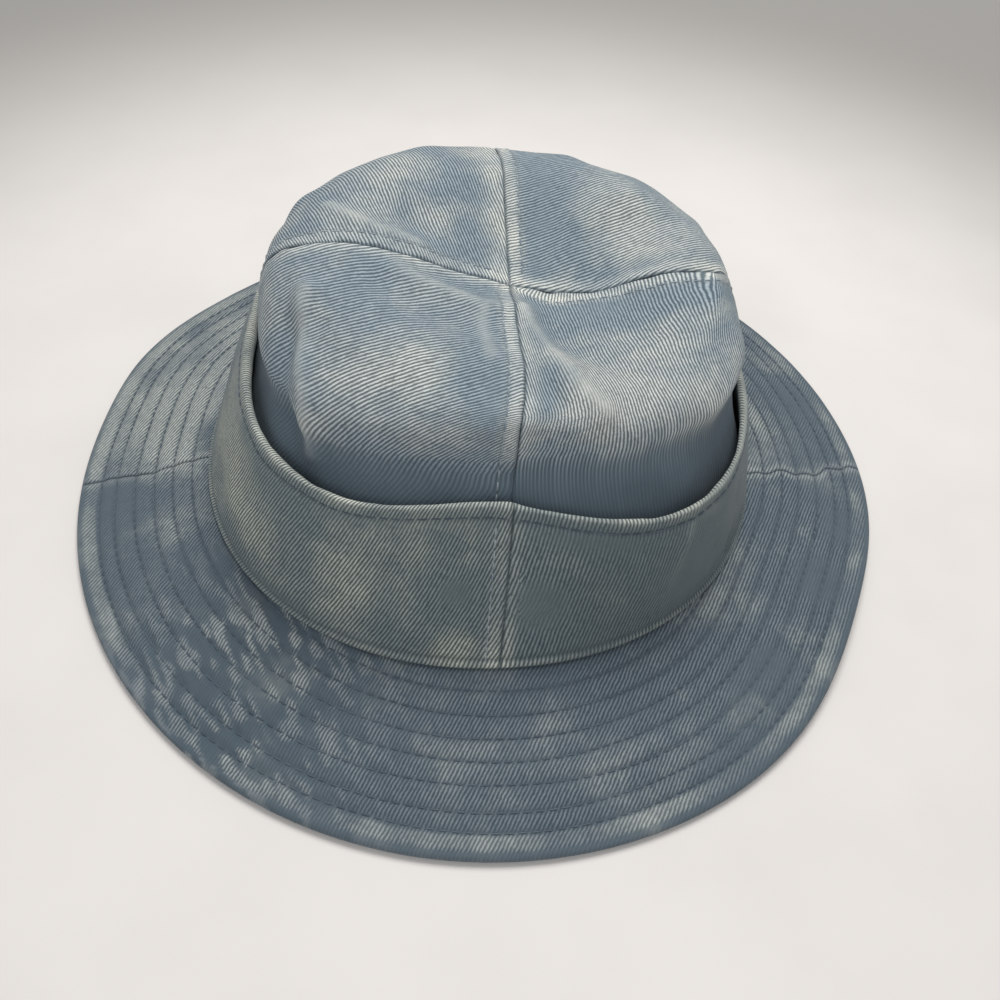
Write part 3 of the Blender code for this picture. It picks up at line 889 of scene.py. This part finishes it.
def crown_fields(name, points, level, start_gap, end_gap, bare):
    """Wash, wear and lost ribs of a crown panel: worn at its seams, blue beside them, and painted shade low
    down, darker and bluer.
    """
    tone = patch_tone(points, CROWN_PATCHES, crown_place)
    beside = bump_at(end_gap, 8.5, 3.0) + 0.6 * bump_at(start_gap, 7.5, 3.0)
    tone -= 0.3 * beside * (0.6 + 0.8 * soft_noise(points, 16, 32)) * smooth(level, 1.5, 3.5)
    reach = FIRST_SEAM_WEAR[name]
    seam_wear = LAST_SEAM_WEAR[name] * bump_at(end_gap, 2.6, 2.7)
    seam_wear += 0.9 * bump_at(start_gap, 0.5 * reach, reach)
    seam_wear *= (0.7 + 0.55 * soft_noise(points, 9, 31)) * smooth(level, 2.0, 4.0)
    worn = seam_wear * (0.7 + 0.3 * smooth(level, 5.6, 6.9)) + 0.5 * bare
    # Painted shade on the low wall inside the cuff: it is made darker and bluer, and its ribs are lost
    below = 1 - smooth(level, 1.7, 2.9)
    bare = bare + 0.45 * smooth(-tone, 0.2, 0.7) + 0.6 * below
    # Painted shade low down, darker seam lines, and a darker line beside the topstitch channel
    dirt = below + 0.9 * bump_at(np.minimum(start_gap, end_gap), 0, 0.45)
    dirt += 0.35 * bump_at(end_gap, TOPSTITCH_OFFSET + 0.5, 0.4)
    return cloth_fields(tone - 0.5 * below, worn, dirt, bare)


def build_crown_panel(name):
    start, last_seam = CROWN_PANELS[name]
    level = crown_levels(start + 45)[:, None]
    share = crowded_shares(CROWN_COLUMNS, 0.62)[None, :]
    angle, level = np.broadcast_arrays(start + 90 * share, level)
    base = crown_surface(angle, level)
    base[-1] = base[-1].mean(0)
    start_gap, end_gap = seam_gaps(base)
    creases, bare = crown_creases(base)
    relief = crown_relief(base, creases, start_gap, end_gap)
    normal = crown_normals(base)
    outer = base + normal * relief[..., None]
    inner = outer - normal * DENIM
    materials = [MATERIALS["crown"], MATERIALS["back"]]
    pattern = gore_pattern(base, name == DRAGGED_PANEL) * RIBS_ON_PANEL[name]
    fields = crown_fields(name, base, level, start_gap, end_gap, bare)
    panel = cloth_sheet("crown_cloth_" + name, outer, inner, materials, pattern, fields)
    hand_over(panel, "hat", "crown_denim", "crown_panel_" + name)
    sewn = np.flatnonzero((level[:, 0] > CROWN_STITCHES_FROM) & (level[:, 0] < CROWN_STITCHES_TO))
    run = seam_run(outer, crown_normals(outer), end_gap, sewn)
    line = stitches("crown_stitches_" + last_seam, [run], MATERIALS["pale_thread"])
    hand_over(line, "hat", "sewing_thread", "crown_topstitch_" + last_seam)


# ------------------------ brim


def brim_edges(angle):
    """The head opening's edge and the brim's outer edge at angles, both on the resting plane."""
    return ring_points(BRIM_INNER, angle), ring_points(BRIM_OUTER, angle, wave(BRIM_RIPPLES, angle, "reach"))


def brim_width(angle):
    inner, outer = brim_edges(angle)
    return np.linalg.norm(outer - inner, axis=-1)


def brim_surface(angle, share, height):
    """Points of the brim a share of the way from the head opening to the edge, at a height in the stack."""
    inner, outer = brim_edges(angle)
    flat_from = 1 - BRIM_FLAT_EDGE / brim_width(angle)
    over = 1 - share / flat_from
    fall = (over + np.sqrt(over**2 + BRIM_BEND_SOFTNESS**2)) / 2
    points = inner + (outer - inner) * np.asarray(share)[..., None]
    points[..., 2] = BRIM_RISE * fall + wave(BRIM_RIPPLES, angle, "lift") * share**2 + height
    return points


def brim_place(angle, share):
    return brim_surface(np.array([float(angle)]), np.array([float(share)]), BRIM_STACK)[0]


def seam_to_seam(half, share):
    """Angles of one half of the brim from seam to seam, in rows at shares of its width."""
    wobble = 0.5 * np.sin(share * 17.0) + 0.35 * np.sin(share * 41.0 + 1.0)
    right = RIGHT_SEAM_INNER + (RIGHT_SEAM_OUTER - RIGHT_SEAM_INNER) * share + wobble
    left = LEFT_SEAM + 0.4 * np.sin(share * 13.0)
    start, end = (left, right) if half == "front" else (right, left + 360)
    turn = crowded_shares(BRIM_COLUMNS, 0.25)[None, :]
    return start[:, None] + (end - start)[:, None] * turn


def brim_grid(half):
    """Angles, shares and distances from the edge over one half of the brim, from its edge inwards.

    Rows crowd at the rolled edge, and the last few share what is left to the head opening.
    """
    edge_rows = BRIM_STACK / 2 * (1 - np.cos(np.linspace(0, pi / 2, BRIM_EDGE_ROWS)))
    inner_rows = np.arange(BRIM_STACK / 2 + BRIM_ROW_SPACING, BRIM_ROWS_REACH, BRIM_ROW_SPACING)
    from_edge = np.concatenate([edge_rows, inner_rows])
    angle = seam_to_seam(half, 1 - from_edge / BRIM_WIDEST)
    share = 1 - from_edge[:, None] / brim_width(angle)
    remainder = np.linspace(1, 0, BRIM_INNER_ROWS)[1:, None] * share[-1:]
    angle = np.concatenate([angle, seam_to_seam(half, remainder.mean(1))])
    share = np.concatenate([share, remainder])
    return angle, share, (1 - share) * brim_width(angle)


def channel_line(points, row):
    """Distance of a sewn channel from the brim's edge, wandering a little."""
    return STITCH_ROWS[row] + 0.5 * soft_noise(points, 45, 50 + row)


def channel_relief(points, from_edge, depth):
    """Sewn channels along the stitch rows, and how near each point is to one, where the cloth gathers."""
    relief = np.zeros(from_edge.shape)
    gathers = np.zeros(from_edge.shape)
    for row in range(len(STITCH_ROWS)):
        line = channel_line(points, row)
        relief -= depth * bump_at(from_edge, line, 1.15)
        gathers += bump_at(from_edge, line, 2.6)
    return relief, gathers


def long_noise(points, width, length, seed):
    """A smooth random field in plan with long bumps that lie along the heading of the puckers."""
    c, s = cos(radians(PUCKER_HEADING)), sin(radians(PUCKER_HEADING))
    along = points[..., 0] * c + points[..., 1] * s
    aside = points[..., 1] * c - points[..., 0] * s
    return soft_noise(np.stack([along / length, aside / width, np.zeros(along.shape)], -1), 1.0, seed)


def brim_drag(points):
    """Long puckers that cross the stitch rows where the cloth is gathered."""
    return long_noise(points, 1.7, 6.2, 48) + 0.15 * long_noise(points, 0.9, 2.4, 51)


def brim_pull(angle):
    """How far the brim's stitching gathers the cloth: most at the left of the front."""
    return bump_at((angle + 180) % 360 - 180, PULLED_AT, PULLED_SPREAD)


def brim_upper_relief(points, angle, from_edge, start_gap, end_gap):
    relief, gathers = channel_relief(points, from_edge, 0.6)
    pull = brim_pull(angle)
    relief += 0.2 * (1 + pull) * soft_noise(points, 5.0, 41) * (0.4 + 0.6 * gathers)
    relief += 0.25 * (1 + pull) * soft_noise(points, 11, 42)
    relief += 0.7 * pull * brim_drag(points) * smooth(from_edge, 2, 7)
    first, last = seam_relief(start_gap, end_gap)
    relief += first + 0.8 * last
    relief += pucker(points, np.minimum(start_gap, end_gap), size=5, amount=0.6, reach=9, seed=43)
    relief = np.where(relief < 0, DEEPEST_BRIM_DIP * np.tanh(relief / DEEPEST_BRIM_DIP), relief)
    return relief * smooth(from_edge, 0, 1.4)


def brim_under_relief(points, from_edge):
    relief, gathers = channel_relief(points, from_edge, 0.45)
    relief += 0.22 * soft_noise(points, 5, 45) * gathers
    return relief * smooth(from_edge, 0, 3)


def sway(points, from_edge):
    """Slow unevenness of the whole brim, always upward, so that it still rests on its edge."""
    lift = 0.5 + 0.5 * soft_noise(points * (1, 1, 0), 70, 61)
    return 1.4 * lift * smooth(from_edge, -5, 25)


def brim_fields(points, angle, from_edge, relief, start_gap, end_gap):
    """Wash, wear and lost ribs of the brim's cloth: bare rows and valleys, worn ridges, seams and edge."""
    pull = brim_pull(angle)
    drag = brim_drag(points)
    tone = patch_tone(points, BRIM_PATCHES, brim_place)
    rows = sum(bump_at(from_edge, row, 1.6) for row in STITCH_ROWS)
    patchy = smooth(soft_noise(points, 13, 47), -0.35, 0.45)
    broad = smooth(soft_noise(points, 26, 49), 0.05, 0.5)
    bare = 0.7 * rows * (0.25 + 0.75 * patchy) + 0.9 * smooth(-tone, 0.12, 0.5) + 0.5 * broad
    bare *= 1 - 0.85 * smooth(tone, 0.05, 0.3)
    bare = bare * (1 - 0.8 * pull) + pull * smooth(-drag, -0.12, 0.08)
    bare += 1 - smooth(from_edge, 1.6, 2.6)
    edge_band = smooth(from_edge, 1.8, 2.8) * (1 - smooth(from_edge, 6.0, 7.6)) * (1 - pull)
    tone += 0.35 * edge_band
    bare = bare * (1 - 0.8 * edge_band) + 0.3 * edge_band
    ridges = pull * smooth(drag, 0.04, 0.3)
    seam_wear = bump_at(start_gap, 1.6, 1.8) + bump_at(end_gap, 1.8, 1.8)
    worn = 0.55 * ridges + 0.1 * edge_band + 0.35 * seam_wear
    worn *= 0.75 + 0.6 * soft_noise(points, 8, 46)
    # Painted shade where the cloth dips, next to the cuff's foot and in the valleys between puckers; darker
    # seam lines, a darker gathered part and darker lines along the stitch rows
    dirt = 0.35 * smooth(-relief, 0.25, 0.8) + 0.5 * smooth(from_edge, 49, 56)
    dirt += 0.35 * pull * smooth(-drag, -0.1, 0.3)
    dirt += 0.7 * bump_at(np.minimum(start_gap, end_gap), 0, 0.5) + 0.2 * pull
    for row in STITCH_ROWS:
        dirt += 0.45 * (1 - pull) * bump_at(from_edge, row, 0.6)
    # The cloth between the cuff and the head opening is painted pale, as painted light in the deep channel
    # there, and its grime and painted shade are taken away
    painted_light_by_cuff = smooth(from_edge, 56.5, 59)
    return cloth_fields(np.clip(tone, -1, 1), worn + painted_light_by_cuff, dirt * (1 - painted_light_by_cuff), bare)


def brim_stitch_runs(grid, normals, middle, from_edge):
    """The rings of stitches on one face of the brim, along its sewn channels."""
    columns = np.arange(1, BRIM_COLUMNS - 1)
    rows = range(len(STITCH_ROWS))
    return [level_run(grid, normals, from_edge - channel_line(middle, row), columns) for row in rows]


def build_brim_half(half):
    angle, share, from_edge = brim_grid(half)
    roll = BRIM_STACK / 2
    inside = np.clip(1 - from_edge / roll, 0, 1)
    bulge = np.sqrt(1 - inside**2)
    middle = brim_surface(angle, share, roll)
    middle[..., 2] += sway(middle, from_edge)
    normal = normals_of(brim_surface(angle, np.clip(share, 0, 1), roll))
    start_gap, end_gap = seam_gaps(middle)
    relief = brim_upper_relief(middle, angle, from_edge, start_gap, end_gap)
    under_relief = brim_under_relief(middle, from_edge)
    inset = (from_edge < roll)[..., None] * outward_in_plan(angle) * DENIM * inside[..., None]
    top = middle + normal * (roll * bulge + relief)[..., None]
    top_inner = middle + normal * ((roll - DENIM) * bulge + 0.3 * relief)[..., None] - inset
    low = middle - normal * (roll * bulge + under_relief)[..., None]
    low_inner = middle - normal * ((roll - DENIM) * bulge)[..., None] - inset
    uv = middle[..., :2]
    fields = brim_fields(middle, angle, from_edge, relief, start_gap, end_gap)
    mirrored = {key: np.flip(value, 1) for key, value in fields.items()}
    cloth = [MATERIALS["brim"]]
    low_faces = (np.flip(low, 1), np.flip(low_inner, 1))
    upper = cloth_sheet("brim_upper_cloth_" + half, top, top_inner, cloth, uv, fields)
    under = cloth_sheet("brim_under_cloth_" + half, *low_faces, cloth, np.flip(uv, 1) * (-1, 1), mirrored)
    keep = from_edge[:, 0] > CANVAS_FROM
    canvas_faces = ((middle + normal * CANVAS_HALF)[keep], (middle - normal * CANVAS_HALF)[keep])
    canvas = cloth_sheet("brim_canvas_" + half, *canvas_faces, [MATERIALS["stiffener"]], uv[keep], {})
    top_runs = brim_stitch_runs(top, normals_of(top), middle, from_edge)
    low_runs = brim_stitch_runs(low, -normals_of(low), middle, from_edge)
    top_line = stitches("brim_stitches_top_" + half, top_runs, MATERIALS["slate_thread"])
    low_line = stitches("brim_stitches_under_" + half, low_runs, MATERIALS["slate_thread"])
    joint = next(j for j in frame["joints"] if j["name"] == half + "_brim_fold")
    fold_y = joint["pos_m"][1]
    outward = MM * (-1 if half == "front" else 1)
    for piece, slot, node in (
        (upper, "brim_denim", "brim_upper_"),
        (under, "brim_denim", "brim_under_"),
        (canvas, "stiffener", "brim_stiffener_"),
        (top_line, "sewing_thread", None),
        (low_line, "sewing_thread", None),
    ):
        if node:
            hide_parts(node + half, node + half + "_flap")
        near = (0, fold_y - BEND_INSIDE * outward, 0)
        far = (0, fold_y + BEND_OUTSIDE * outward, 0)
        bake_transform(piece)


# ------------------------ cuff


class CuffHalf(NamedTuple):
    """The grid of one half of the cuff, and its distances from its foot, its fold and its seams."""

    rows: np.ndarray
    angle: np.ndarray
    climb: np.ndarray
    fold_at: np.ndarray
    start_gap: np.ndarray
    end_gap: np.ndarray
    outside: np.ndarray


def cuff_path(angle):
    """The cuff's outer face over its section at each angle, and its unit direction out of the cloth."""
    base = ring_points(CUFF_BASE, angle)
    inner = ring_points(BRIM_INNER, angle)
    share = np.linalg.norm((base - inner)[..., :2], axis=-1) / brim_width(angle)
    base[..., 2] = brim_surface(angle, share, BRIM_STACK)[..., 2] + CUFF_LIFT
    top = ring_points(CUFF_TOP, angle, wave(CUFF_RIPPLES, angle, "reach"))
    top[..., 2] += wave(CUFF_RIPPLES, angle, "lift")
    top[..., 2] += 0.7 * soft_noise(top * (1, 1, 0), 22, 71)
    length = np.linalg.norm(top - base, axis=-1, keepdims=True)
    up = (top - base) / length
    radial = outward_in_plan(angle)
    inward = (radial * up).sum(-1, keepdims=True) * up - radial
    inward /= np.linalg.norm(inward, axis=-1, keepdims=True)
    straight = length - CUFF_FOLD_RADIUS
    rows, away = [], []
    for part in np.linspace(0, 1, CUFF_WALL_ROWS):
        rows.append(base + up * straight * part - inward * CUFF_BELLY * sin(pi * part))
        away.append(-inward)
    centre = base + up * straight + inward * CUFF_FOLD_RADIUS
    for turn in np.radians(np.linspace(15, 165, CUFF_TURN_ROWS)):
        out = up * sin(turn) - inward * cos(turn)
        rows.append(centre + CUFF_FOLD_RADIUS * out)
        away.append(out)
    for part in np.linspace(1, 0.04, CUFF_INNER_ROWS):
        depth = 2 * CUFF_FOLD_RADIUS - CUFF_BELLY * sin(pi * part)
        rows.append(base + up * straight * part + inward * depth)
        away.append(inward)
    return np.array(rows), np.array(away)


def cuff_place(angle, share):
    return cuff_path(np.array([float(angle)]))[0][int(share * (CUFF_WALL_ROWS - 1)), 0]


def cuff_side_fold(cuff):
    """How near each point is to the small upright fold at the right of the cuff's front."""
    around = (cuff.angle - CUFF_SIDE_FOLD + 7 * (1 - cuff.climb / cuff.fold_at)) * 1.6
    height = bump_at(cuff.climb, CUFF_SIDE_FOLD_AT * cuff.fold_at, 0.22 * cuff.fold_at)
    return bump_at(around, 0, 1.3) * height * cuff.outside


def cuff_relief(cuff):
    from_fold = np.abs(cuff.fold_at - cuff.climb)
    stitched = bump_at(from_fold, CUFF_STITCH_DROP, 0.8)
    relief = (sum(seam_relief(cuff.start_gap, cuff.end_gap)) - 0.4 * stitched) * cuff.outside
    relief += 0.22 * soft_noise(cuff.rows, 4.2, 72) * bump_at(from_fold, 3, 4)
    from_seam = np.minimum(cuff.start_gap, cuff.end_gap)
    relief += pucker(cuff.rows, from_seam, size=5, amount=0.4, reach=7, seed=73)
    relief += 1.1 * soft_noise(cuff.rows, 26, 74) + 0.35 * soft_noise(cuff.rows, 11, 75)
    relief *= smooth(cuff.climb, 0, 8)
    foot = 0.8 * bump_at(cuff.climb, 1.3, 1.0) - 0.5 * bump_at(cuff.climb, 3.0, 0.7)
    return relief + 0.6 * cuff_side_fold(cuff) + foot * cuff.outside


def cuff_fields(cuff):
    """Wash, wear and lost ribs of the cuff: worn along its fold, foot and seams, bare below the fold."""
    climb, angle = cuff.climb, cuff.angle
    from_fold = np.abs(cuff.fold_at - climb)
    tone = patch_tone(cuff.rows, CUFF_PATCHES, cuff_place)
    beside = bump_at(cuff.end_gap, 2.6, 2.6) + 0.8 * bump_at(cuff.start_gap, 1.6, 2.2)
    worn = 0.85 * bump_at(from_fold, 0.3, 1.7) + 0.3 * bump_at(climb, 1.5, 1.0)
    worn += 0.5 * beside * (0.45 + 0.8 * bump_at(climb, 4, 14))
    worn = (worn + 0.45 * cuff_side_fold(cuff)) * (0.8 + 0.6 * soft_noise(cuff.rows, 9, 76))
    # Darker seam lines, a darker line along the stitching below the fold, and a darker right of the front
    dirt = 0.9 * bump_at(np.minimum(cuff.start_gap, cuff.end_gap), 0, 0.45)
    dirt += 0.35 * bump_at(from_fold, CUFF_STITCH_DROP, 0.8)
    dirt += 0.4 * smooth(angle, -90, -70) * (1 - smooth(angle, 0, 40))
    # Painted shadow along the groove above the cuff's foot
    dirt += 0.5 * bump_at(climb, 3.2, 0.8)
    patchy = smooth(soft_noise(cuff.rows, 24, 77), -0.2, 0.45)
    bare = bump_at(from_fold, 7.5, 3.6) * (0.3 + 0.7 * patchy) + 0.9 * smooth(-tone, 0.15, 0.6)
    bare += 0.8 * bump_at(climb, 4.5, 2.5) * patchy
    bare *= 1 - np.clip(beside, 0, 1)
    smooth_end = smooth(angle, -60, -50) * (1 - smooth(angle, -10, 10))
    bare += 0.75 * smooth_end * smooth(climb, 8, 14) * cuff.outside
    return cloth_fields(np.clip(tone, -1, 1), worn, dirt, bare)


def build_cuff_half(name, start, seam):
    """Make one half of the cuff and the stitches of its last seam, and give its run of edge stitches."""
    angle = start + 180 * crowded_shares(CUFF_COLUMNS, 0.45)
    rows, away = cuff_path(angle)
    climb = travel(rows, 0)
    fold_at = climb[CUFF_WALL_ROWS - 1][None, :] + CUFF_FOLD_RADIUS * pi / 2
    outside = (np.arange(len(rows)) < CUFF_WALL_ROWS + CUFF_TURN_ROWS // 2)[:, None]
    cuff = CuffHalf(rows, angle, climb, fold_at, *seam_gaps(rows), outside)
    outer = rows + away * cuff_relief(cuff)[..., None]
    inner = outer - away * DENIM
    right, up = np.broadcast_arrays(cuff.start_gap[CUFF_WALL_ROWS // 2], climb[:, [CUFF_COLUMNS // 2]])
    turned, spread = CUFF_RIBS[name]
    uv = np.stack([right + turned * up, up], -1) * spread
    cloth = cloth_sheet("cuff_cloth_" + name, outer, inner, [MATERIALS["cuff"]], uv, cuff_fields(cuff))
    hand_over(cloth, "hat", "cuff_denim", "cuff_" + name)
    normal = normals_of(outer)
    run = seam_run(outer, normal, cuff.end_gap, np.arange(2, CUFF_WALL_ROWS - 5))
    line = stitches("cuff_stitches_" + seam, [run], MATERIALS["pale_thread"])
    hand_over(line, "hat", "sewing_thread", "cuff_topstitch_" + seam)
    below_fold = (climb - (fold_at - CUFF_STITCH_DROP))[:CUFF_WALL_ROWS]
    return level_run(outer[:CUFF_WALL_ROWS], normal, below_fold, np.arange(2, CUFF_COLUMNS - 2))


def build_cuff():
    runs = [build_cuff_half("left", 90, "front"), build_cuff_half("right", -90, "back")]
    line = stitches("cuff_stitches_edge", runs, MATERIALS["slate_thread"])
    hand_over(line, "hat", "sewing_thread", "cuff_topstitch_edge")


# ------------------------ inside


def build_sweatband():
    """A folded cotton tape round the head opening, sewn near both of its edges."""
    clear_of_crown = DENIM + 0.6
    angle = np.arange(360.0)[None, :]
    level = np.linspace(SWEATBAND_FROM, SWEATBAND_TO, SWEATBAND_ROWS)[:, None]
    base = crown_surface(*np.broadcast_arrays(angle, level))
    flat = normals_of(base) * (1, 1, 0)
    flat /= np.linalg.norm(flat, axis=-1, keepdims=True)
    up = travel(base, 0)
    down = up[-1:] - up
    edge = np.minimum(up, down)
    hem = 0.25 * np.sqrt(np.clip(1 - (1 - np.clip(edge / 0.6, 0, 1)) ** 2, 0, 1))
    sewn = -0.2 * (bump_at(up, 2.4, 0.6) + bump_at(down, 2.4, 0.6))
    gathers = 0.15 * soft_noise(base, 5, 81) * smooth(edge, 0, 2)
    inside = base - flat * (clear_of_crown + 0.35 + hem + sewn + gathers)[..., None]
    faces = (np.flip(inside, 1), np.flip(base - flat * clear_of_crown, 1))
    uv = np.flip(np.stack([travel(base, 1), up], -1), 1)
    tape = cloth_sheet("sweatband_tape", *faces, [MATERIALS["band"]], uv, {}, closed=True)
    hand_over(tape, "hat", "cotton_band", "sweatband")
    around = np.arange(361) % 360
    runs = [(inside[row, around], -flat[row, around]) for row in SWEATBAND_STITCH_ROWS]
    line = stitches("sweatband_stitches", runs, MATERIALS["pale_thread"], length=2.4)
    hand_over(line, "hat", "sewing_thread")


def build_label():
    """A blank folded label, sewn along its top edge and a little curled below."""
    low, high = [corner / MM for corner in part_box("care_label")]
    right = np.linspace(low.x, high.x, LABEL_COLUMNS)[None, :]
    share = np.linspace(0, 1, LABEL_ROWS)[:, None]
    right, share = np.broadcast_arrays(right, share)
    z = low.z + (high.z - low.z) * share
    curl = 0.8 * (1 - share) ** 2 * (1 + 0.5 * np.sin(right / (high.x - low.x) * 5))
    y = low.y + (high.y - low.y) * (1 - share) - 0.2 - curl
    front = np.stack([right, y - LABEL_HALF, z], -1)
    back = np.stack([right, y + LABEL_HALF, z], -1)
    uv = np.stack([right, z], -1)
    label = cloth_sheet("label_cloth_blank", front, back, [MATERIALS["label"]], uv, {})
    hand_over(label, "label", "label_cloth", "care_label")
    sewn_row = front[-4]
    run = (sewn_row, np.tile((0.0, -1.0, 0.0), (len(sewn_row), 1)))
    line = stitches("label_stitches", [run], MATERIALS["pale_thread"], length=2.0, radius=0.18)
    hand_over(line, "label", "sewing_thread")


# ------------------------ stage


def build_floor():
    """A pale floor with painted shade that darkens it away from the hat, and painted light that brightens it
    again farther out.
    """
    g = Graph("studio_floor")
    place = g.object_place()
    cloud = g.step(g.noise(place, 60, detail=3.0), 0.3, 0.8)
    colour = g.mix(cloud, (0.85, 0.82, 0.79), (0.81, 0.78, 0.75))
    distance = g.node("VectorMath", "Value", {0: place}, operation="LENGTH")
    # Painted shade from 200 to 500 mm round the hat, then painted light out to 1500 mm against the lamps'
    # falloff
    around = g.mix(g.step(distance, 500, 1500), (0.40, 0.39, 0.37), (0.95, 0.94, 0.93))
    material = g.finish(g.mix(g.step(distance, 200, 500), colour, around), 0.6)
    corners = np.array([(-1, -1, 0), (1, -1, 0), (1, 1, 0), (-1, 1, 0)]) * FLOOR_HALF
    floor = mesh_object("studio_floor", corners, np.array([[0, 1, 2, 3]]), [material])
    floor.location.z = -FLOOR_GAP * MM


def area_light(name, place, size, power, colour):
    """A round soft light that faces the crown's top. Place and size in metres."""
    light = bpy.data.lights.new(name, "AREA")
    light.shape = "DISK"
    light.size = size
    light.energy = power
    light.color = colour
    obj = bpy.data.objects.new(name, light)
    obj.location = place
    crown_top = Vector((0, 0, 90 * MM))
    obj.rotation_euler = (crown_top - Vector(place)).to_track_quat("-Z", "Y").to_euler()
    bpy.context.scene.collection.objects.link(obj)


def build_lights():
    area_light("overhead", (0.12, 0.32, 0.95), 0.6, 6.5, (1.0, 0.985, 0.96))
    area_light("fill", (-0.28, -0.78, 0.71), 0.5, 1.7, (0.98, 0.985, 1.0))
    world = bpy.data.worlds.new("studio")
    world.use_nodes = True
    background = world.node_tree.nodes["Background"]
    background.inputs["Color"].default_value = (0.99, 0.985, 1.0, 1.0)
    background.inputs["Strength"].default_value = 0.40
    bpy.context.scene.world = world


def build_camera():
    """A hand-held view from a little to the left of the front, looking down at the hat."""
    camera = bpy.data.cameras.new("camera")
    camera.lens = 34.92
    camera.sensor_width = 36.0
    camera.clip_start = 0.01
    obj = bpy.data.objects.new("camera", camera)
    place = Vector((-26.39, -258.77, 264.56)) * MM
    heading = Matrix.Rotation(radians(-7.5), 4, "Z")
    tilt = Matrix.Rotation(radians(90 - 47.57), 4, "X")
    roll = Matrix.Rotation(radians(4.43), 4, "Z")
    obj.matrix_world = Matrix.Translation(place) @ heading @ tilt @ roll
    bpy.context.scene.collection.objects.link(obj)
    bpy.context.scene.camera = obj


for panel_name in CROWN_PANELS:
    build_crown_panel(panel_name)
build_brim_half("front")
build_brim_half("back")
build_cuff()
build_sweatband()
build_label()
build_floor()
build_lights()
build_camera()
bpy.context.scene.view_settings.view_transform = "Standard"
